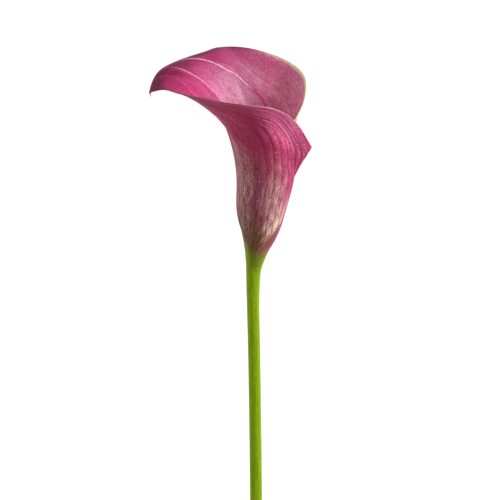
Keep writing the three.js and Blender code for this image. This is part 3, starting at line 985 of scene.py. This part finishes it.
class CallaColours(bpy.types.PropertyGroup):
    """The colours of the petal, the stem and the spadix"""

    crimson: tint("Crimson", "#a43456", "The outer face of the limb")
    rose: tint("Rose", "#ea6094", "The outer face of the near flap")
    # Maroon: on the outside where the flare bends out it is partly painted shade
    maroon: tint("Maroon", "#94264a", "The stain where the limb bends out")
    # Painted shade under the near rim, in a deep red
    rim_shade_red: tint("Rim red", "#aa224c", "The stain under the near rim")
    wine: tint("Wine", "#84304e", "The dark pleats of the tube")
    khaki: tint("Khaki", "#b2867e", "The pale pleats of the tube")
    brown: tint("Brown", "#684c28", "The tube's foot")
    cream: tint("Cream", "#d4b69c", "The strip low on the tube's front")
    blotch: tint("Blotch", "#c8949a", "The pale blotches beside the cream")
    # Dark line: painted shade in the grooves, and a dark line at the back of the tube
    dark_line: tint("Dark line", "#5c1830", "The lines in the grooves")
    # Purple: the tip's own colour, and partly painted shade along the crest
    purple: tint("Purple", "#742a48", "The tip and its crest")
    vivid: tint("Vivid", "#c8427c", "The inner face next to its veins")
    magenta: tint("Magenta", "#a83668", "The inner face of the open limb")
    pink: tint("Pink", "#b85684", "The inner face between its veins")
    # Pale pink: on the pleats' backs it is a painted highlight
    pale_pink: tint("Pale pink", "#c4839f", "The inner face beside the far vein, and the pleats' backs")
    dusk: tint("Dusk", "#be6a86", "The inner face of the far side")
    far_pink: tint("Far pink", "#da8aa6", "The inner face low on the far side")
    vein: tint("Vein", "#dabac6", "The pale veins")
    # Palest pink: partly painted light on the far wall near the throat
    palest: tint("Palest pink", "#dc98b0", "The inner face near its throat")
    margin: tint("Margin", "#f4e6b4", "The far side's edge")
    near_margin: tint("Near margin", "#8e3e50", "The near side's edge")
    withered: tint("Withered", "#8a6c6c", "The dry thread at the tip")
    green: tint("Green", "#82a008", "The stem's skin")
    deep_green: tint("Deep green", "#6c8a06", "The stem's darker fibres")
    light_green: tint("Light green", "#99b224", "The stem's paler flecks")
    lime: tint("Lime", "#c9cf8a", "The flesh of the cut and the throat")
    pollen: tint("Pollen", "#e0a832", "The ripe florets")
    pollen_shade: tint("Pollen shade", "#b87c1e", "The ripe florets' hollows")
    pollen_light: tint("Pollen light", "#f0c860", "The ripe florets' dust")


class CallaStudio(bpy.types.PropertyGroup):
    """The floor and the lights"""

    floor: tint("Floor", "#b3b3b3", "The paper that the flower lies on")
    floor_glow: FloatProperty(
        name="Floor glow",
        description="How brightly the paper is lit from below",
        default=0.8, min=0, max=2,
    )
    room_light: FloatProperty(
        name="Room light",
        description="Strength of the even light from all round",
        default=0.42, min=0, max=2,
    )
    key_power: FloatProperty(
        name="Key power",
        description="Power of the soft light in front",
        default=10, min=0, max=100, unit="POWER",
    )
    fill_power: FloatProperty(
        name="Fill power",
        description="Power of the weaker light from above the tip",
        default=2.5, min=0, max=100, unit="POWER",
    )


def pleat_fold(depth, side, opened, height, pleat, crease):
    """How far the wall stands out of its middle surface at a place, for its pleats. The rim is calmer."""
    groove = math.exp(-(((pleat - round(pleat)) / GROOVE_REACH) ** 2))
    back = PLEAT_BACK / 2 * (1 - math.cos(2 * math.pi * pleat))
    at_tip = smoothstep(opened, *TIP_OPENINGS) * (1 - smoothstep(abs(side - TIP_SIDE), *TIP_SIDES))
    calm = 1 - RIM_CALM * smoothstep(opened, *RIM_OPENINGS)
    fold = depth * crease * smoothstep(height, *PLEAT_HEIGHTS) * calm
    return fold * (1 - at_tip) * (back - groove)


class CALLA_OT_spathe(bpy.types.Operator):
    """Adds the spathe: one thin blade rolled into a trumpet, with its pleats, its veins and its skins"""

    bl_idname = "calla.spathe"
    bl_label = "Spathe"

    def execute(self, context):
        shape = context.scene.calla_shape
        colours = context.scene.calla_colours
        bpy.ops.object.select_all(action="DESELECT")
        bpy.ops.mesh.primitive_grid_add(x_subdivisions=COLUMNS, y_subdivisions=ROWS, size=1, calc_uvs=True)
        piece = context.object
        mesh = piece.data
        across = COLUMNS + 1
        places = [(i / COLUMNS, level_of(j / ROWS)) for j in range(ROWS + 1) for i in range(across)]
        if len(mesh.vertices) != len(places):
            raise RuntimeError("The grid doesn't have the points that the spathe needs")
        grown = [spathe_point(turn, level) for turn, level in places]
        mesh.vertices.foreach_set("co", [x for point in grown for x in point])
        mesh.update()
        side = [2 * turn - 1 for turn, _ in places]
        opened = [min(max(level - 1, 0), 1) for _, level in places]
        starts = [vein_start(s, o) for s, o in zip(side, opened)]
        pleats, creases = zip(*(pleat_of(start) for start in starts))

        thickest = shape.petal_thickness / MM
        thinnest = shape.margin_thickness / MM
        depth = shape.pleat_depth / MM
        wall = piece.vertex_groups.new(name="wall")
        normals = [normal.vector.copy() for normal in mesh.vertex_normals]
        for k, point in enumerate(grown):
            whole = lerp(thickest, thinnest, min(max(places[k][1] / 2, 0), 1))
            thick = lerp(FOOT_THICKNESS, whole, smoothstep(point.z, FOOT, FOOT_RISE))
            fold = pleat_fold(depth, side[k], opened[k], point.z, pleats[k], creases[k])
            mesh.vertices[k].co = point + normals[k] * ((whole - thick) / 2 + fold)
            wall.add([k], thick / thickest, "REPLACE")
        mesh.update()

        kept = {
            "side": side,
            "opened": opened,
            "height": [point.z for point in grown],
            "vein": starts,
            "pleat": pleats,
            "crease": creases,
            "span": pleat_spans(grown, pleats, across),
            "rim_gap": rim_gaps(grown, across),
        }
        for name, path in PALE_VEINS.items():
            kept[name] = vein_distances(path, places, grown)
        for name, values in kept.items():
            keep_on_points(mesh, name, values)
        mesh.materials.append(petal_outer_skin(colours))
        mesh.materials.append(petal_inner_skin(colours))
        mesh.materials.append(petal_margin(colours))

        thicken = piece.modifiers.new("wall", "SOLIDIFY")
        thicken.thickness = thickest
        thicken.offset = 0
        thicken.vertex_group = "wall"
        thicken.material_offset = 1
        thicken.material_offset_rim = 2
        bpy.ops.object.modifier_apply(modifier="wall")
        rounding = piece.modifiers.new("rim", "BEVEL")
        rounding.limit_method = "ANGLE"
        rounding.angle_limit = math.radians(SHARP_ANGLE)
        rounding.width = RIM_ROUNDING
        rounding.segments = 2
        bpy.ops.object.modifier_apply(modifier="rim")
        piece.vertex_groups.clear()
        keep_grown(mesh)
        mesh.shade_smooth()
        seat(piece, "spathe_blade", "spathe")
        return {"FINISHED"}


class CALLA_OT_point(bpy.types.Operator):
    """Adds the spathe's point: the short dry thread that its tip ends in"""

    bl_idname = "calla.point"
    bl_label = "Point"

    def execute(self, context):
        bpy.ops.object.select_all(action="DESELECT")
        bpy.ops.mesh.primitive_cone_add(
            vertices=POINT_SIDES, radius1=1, radius2=POINT_END, depth=1, end_fill_type="NGON",
        )
        piece = context.object
        bpy.ops.object.mode_set(mode="EDIT")
        bpy.ops.mesh.select_all(action="SELECT")
        bpy.ops.mesh.subdivide(number_cuts=POINT_CUTS)
        bpy.ops.object.mode_set(mode="OBJECT")
        tip = spathe_point(0.5, 2)
        mesh = piece.data
        for vertex in mesh.vertices:
            down = vertex.co.z + 0.5
            thick = POINT_RADIUS * lerp(1, POINT_WITHERS, smoothstep(down, 0.3, 1))
            curl = POINT_CURL * down * down
            vertex.co = Vector((
                tip.x + POINT_FORWARD + curl + vertex.co.x * thick,
                tip.y + vertex.co.y * thick,
                tip.z + POINT_ROOT - down * (POINT_LENGTH + POINT_ROOT),
            ))
        bpy.ops.object.mode_set(mode="EDIT")
        bpy.ops.mesh.select_all(action="SELECT")
        bpy.ops.mesh.normals_make_consistent(inside=False)
        bpy.ops.object.mode_set(mode="OBJECT")
        mesh.materials.append(dry_point(context.scene.calla_colours))
        bpy.ops.object.shade_smooth_by_angle(angle=math.radians(SHARP_ANGLE))
        seat(piece, "spathe_point", "spathe")
        return {"FINISHED"}


class CALLA_OT_stem(bpy.types.Operator):
    """Adds the stem: a smooth tapered rod, cut on a slant below and flared into the spathe above"""

    bl_idname = "calla.stem"
    bl_label = "Stem"

    def execute(self, context):
        colours = context.scene.calla_colours
        foot, neck = STEM_STATIONS[0][0], STEM_STATIONS[-1][0]
        heights = [lerp(foot, neck, ring / STEM_RINGS) for ring in range(STEM_RINGS + 1)]
        stations = [read_table(STEM_STATIONS, height) for height in heights]
        stations += [(height, stations[-1][1], radius) for height, radius in RECEPTACLE]
        bpy.ops.object.select_all(action="DESELECT")
        bpy.ops.mesh.primitive_circle_add(vertices=STEM_SIDES, radius=stations[0][2], fill_type="NGON")
        piece = context.object
        bpy.ops.object.mode_set(mode="EDIT")
        bpy.ops.mesh.select_all(action="SELECT")
        bpy.ops.transform.translate(value=(stations[0][1], 0, foot))
        for (h0, bow0, r0), (h1, bow1, r1) in zip(stations, stations[1:]):
            step = (bow1 - bow0, 0, h1 - h0)
            bpy.ops.mesh.extrude_region_move(TRANSFORM_OT_translate={"value": step})
            bpy.ops.transform.resize(value=(r1 / r0, r1 / r0, 1), center_override=(bow1, 0, h1))
        bpy.ops.mesh.select_all(action="SELECT")
        bpy.ops.mesh.normals_make_consistent(inside=False)
        bpy.ops.object.mode_set(mode="OBJECT")
        mesh = piece.data
        slope = math.tan(math.radians(CUT_SLANT))
        for vertex in mesh.vertices:
            vertex.co.z -= vertex.co.y * slope * max(0, 1 - (vertex.co.z - foot) / CUT_BLEND)
        mesh.materials.append(stem_skin(colours))
        mesh.materials.append(stem_flesh(colours))
        bpy.ops.object.mode_set(mode="EDIT")
        bpy.ops.mesh.select_mode(type="FACE")
        bpy.ops.mesh.select_all(action="DESELECT")
        bpy.ops.object.mode_set(mode="OBJECT")
        for face in mesh.polygons:
            if len(face.vertices) == STEM_SIDES and face.center.z < foot / 2:
                face.select = True
                face.material_index = 1
        bpy.ops.object.mode_set(mode="EDIT")
        for inset, sink in CUT_RINGS:
            bpy.ops.mesh.inset(thickness=inset, depth=-sink)
        bpy.ops.object.mode_set(mode="OBJECT")
        keep_grown(mesh)
        bpy.ops.object.shade_smooth_by_angle(angle=math.radians(CUT_SHARP_ANGLE))
        seat(piece, "stem_rod", "stem")
        return {"FINISHED"}


def spadix_core(context, length, radius, pitch):
    """Adds the smooth body of the spadix, which shows between its florets."""
    bpy.ops.object.select_all(action="DESELECT")
    bpy.ops.mesh.primitive_uv_sphere_add(segments=CORE_SIDES, ring_count=CORE_RINGS, radius=1)
    core = context.object
    for vertex in core.data.vertices:
        share = (1 - vertex.co.z) / 2
        flat = Vector((vertex.co.x, vertex.co.y, 0))
        height = SPADIX_FOOT + length * (1 - share) * CORE_LENGTH
        wide = radius - CORE_INSET * pitch
        body = wide * lerp(SPADIX_WAIST, 1, smoothstep(1 - share, 0, WAIST_SHARE))
        round_off = min(1, max(0, 1 - share) / CORE_FOOT + 0.5, math.sqrt(share / CORE_TIP))
        flat = flat.normalized() if flat.length > 1e-6 else flat
        vertex.co = flat * (body * round_off)
        vertex.co.x += read_table(TUBE_STATIONS, height)[1]
        vertex.co.z = height
    return core


def floret_bead(context):
    """Adds the bead that every floret is a copy of, a millimetre wide with a dented top."""
    bpy.ops.object.select_all(action="DESELECT")
    bpy.ops.mesh.primitive_cube_add(size=1)
    bead = context.object
    bpy.ops.object.mode_set(mode="EDIT")
    bpy.ops.mesh.select_all(action="SELECT")
    bpy.ops.mesh.subdivide(number_cuts=2)
    bpy.ops.transform.tosphere(value=BEAD_ROUNDNESS)
    bpy.ops.object.mode_set(mode="OBJECT")
    for vertex in bead.data.vertices:
        if vertex.co.z > DENT_ABOVE and abs(vertex.co.x) < DENT_HALF_WIDTH:
            vertex.co.z -= DENT_DEPTH
    return bead


class CALLA_OT_spadix(bpy.types.Operator):
    """Adds the spadix: a blunt finger set with spiral rows of ovaries below and pollen florets above"""

    bl_idname = "calla.spadix"
    bl_label = "Spadix"

    def execute(self, context):
        shape = context.scene.calla_shape
        colours = context.scene.calla_colours
        length = shape.spadix_length / MM
        radius = shape.spadix_radius / MM
        around = shape.florets_around
        pitch = 2 * math.pi * radius / around
        rings = round(length / (pitch * RING_SPACING))
        core = spadix_core(context, length, radius, pitch)
        skins = [pollen_florets(colours), ovary_florets(colours)]
        for skin in skins:
            core.data.materials.append(skin)
        bead = floret_bead(context)
        pieces = [core]
        noise.seed_set(FLORET_SEED)
        for ring in range(rings):
            share = (ring + 0.5) / rings
            height = SPADIX_FOOT + share * length
            into_tip = max(0, 1 - (1 - share) * length / radius)
            tip = math.sqrt(max(0.02, 1 - into_tip ** 2))
            waist = lerp(SPADIX_WAIST, 1, smoothstep(share, 0, WAIST_SHARE))
            reach = tip * (radius - FLORET_INSET * pitch) * waist
            bow = read_table(TUBE_STATIONS, height)[1]
            ovary = share < OVARY_SHARE
            count = max(3, round(around * tip))
            for place in range(count):
                angle = 2 * math.pi * (place + 0.5 * (ring % 2) + RING_TWIST * ring) / count
                wobble = noise.noise_vector(Vector((ring * 0.7, place * 1.3, 4.2)))
                floret = bead.copy()
                floret.data = bead.data.copy()
                out = Vector((math.cos(angle), math.sin(angle), TIP_LEAN * into_tip)).normalized()
                turned = out.to_track_quat("Z", "X").to_matrix().to_4x4()
                spin = Matrix.Rotation(wobble.x * FLORET_SPIN, 4, "Z")
                size = pitch * (FLORET_SIZE + FLORET_UNEVEN * wobble.y)
                spot = Vector((bow + reach * math.cos(angle), reach * math.sin(angle), height))
                spot += out * (FLORET_JITTER * wobble.z)
                grow = Matrix.Diagonal((size, size, size * (1.0 if ovary else POLLEN_FLATNESS), 1))
                floret.data.transform(Matrix.Translation(spot) @ turned @ spin @ grow)
                floret.data.materials.clear()
                floret.data.materials.append(skins[1 if ovary else 0])
                context.collection.objects.link(floret)
                pieces.append(floret)
        bpy.data.objects.remove(bead)
        bpy.ops.object.select_all(action="DESELECT")
        for piece in pieces:
            piece.select_set(True)
        context.view_layer.objects.active = core
        bpy.ops.object.join()
        keep_grown(core.data)
        core.data.shade_smooth()
        seat(core, "spadix_finger", "spadix")
        return {"FINISHED"}


def add_light(scene, name, place, side, power):
    """Adds a square soft light that faces the flower's middle."""
    light = bpy.data.lights.new(name, "AREA")
    light.shape = "SQUARE"
    light.size = side
    light.energy = power
    holder = bpy.data.objects.new(name, light)
    holder.location = Vector(place) + Vector(FLOWER_MIDDLE)
    holder.rotation_euler = (-Vector(place)).to_track_quat("-Z", "Y").to_euler()
    scene.collection.objects.link(holder)


def add_camera(scene):
    """Adds the camera that saw the upright flower, laid down with it."""
    down = math.radians(VIEW_DOWN)
    looking = Vector((0, math.cos(down), -math.sin(down)))
    upward = Vector((0, math.sin(down), math.cos(down)))
    centre = PICTURE_SIDE / 2
    aim = Vector(((centre - ROOT_PIXEL[0]) * PIXEL, 0, 0)) + upward * ((ROOT_PIXEL[1] - centre) * PIXEL)
    eye = aim - looking * VIEW_DISTANCE
    stand = Matrix.Identity(4)
    for column, axis in enumerate((Vector((1, 0, 0)), upward, -looking)):
        stand.col[column] = (*axis, 0)
    stand.col[3] = (*eye, 1)
    placed = lay_down() @ stand
    lens = bpy.data.cameras.new("camera")
    lens.sensor_width = SENSOR
    lens.lens = SENSOR * VIEW_DISTANCE / (PIXEL * PICTURE_SIDE)
    lens.clip_start = 0.1
    lens.clip_end = 20
    camera = bpy.data.objects.new("camera", lens)
    camera.location = placed.to_translation()
    camera.rotation_euler = placed.to_3x3().normalized().to_euler()
    scene.collection.objects.link(camera)
    scene.camera = camera


class CALLA_OT_studio(bpy.types.Operator):
    """Adds the pale floor, the soft lights and the camera at the photograph's angle"""

    bl_idname = "calla.studio"
    bl_label = "Studio"

    def execute(self, context):
        scene = context.scene
        studio = scene.calla_studio
        bpy.ops.object.select_all(action="DESELECT")
        bpy.ops.mesh.primitive_plane_add(size=FLOOR_SIDE)
        floor = context.object
        floor.name = "floor"
        floor.data.materials.append(matte_paper(studio))
        world = bpy.data.worlds.new("studio")
        world.use_nodes = True
        background = world.node_tree.nodes["Background"]
        feed(world.node_tree, background, [("Color", (1, 1, 1)), ("Strength", studio.room_light)])
        scene.world = world
        scene.view_settings.view_transform = "Standard"
        add_light(scene, "key", KEY_PLACE, KEY_SIDE, studio.key_power)
        add_light(scene, "fill", FILL_PLACE, FILL_SIDE, studio.fill_power)
        add_camera(scene)
        return {"FINISHED"}


class CALLA_PT_panel(bpy.types.Panel):
    """Lists the sizes, the colours and the pieces"""

    bl_label = "Calla lily"
    bl_idname = "CALLA_PT_panel"
    bl_space_type = "VIEW_3D"
    bl_region_type = "UI"
    bl_category = "Calla"

    def draw(self, context):
        scene = context.scene
        for group in (scene.calla_shape, scene.calla_colours, scene.calla_studio):
            for name in group.bl_rna.properties.keys():
                if name not in {"rna_type", "name"}:
                    self.layout.prop(group, name)
        for operator in OPERATORS:
            self.layout.operator(operator.bl_idname)


OPERATORS = (CALLA_OT_spathe, CALLA_OT_point, CALLA_OT_stem, CALLA_OT_spadix, CALLA_OT_studio)
CLASSES = (CallaShape, CallaColours, CallaStudio, *OPERATORS, CALLA_PT_panel)


def register():
    for each in CLASSES:
        bpy.utils.register_class(each)
    bpy.types.Scene.calla_shape = PointerProperty(type=CallaShape)
    bpy.types.Scene.calla_colours = PointerProperty(type=CallaColours)
    bpy.types.Scene.calla_studio = PointerProperty(type=CallaStudio)


def unregister():
    del bpy.types.Scene.calla_studio
    del bpy.types.Scene.calla_colours
    del bpy.types.Scene.calla_shape
    for each in reversed(CLASSES):
        bpy.utils.unregister_class(each)


def main():
    register()
    bpy.ops.calla.spathe()
    bpy.ops.calla.point()
    bpy.ops.calla.stem()
    bpy.ops.calla.spadix()
    bpy.ops.calla.studio()


if __name__ == "__main__":
    main()
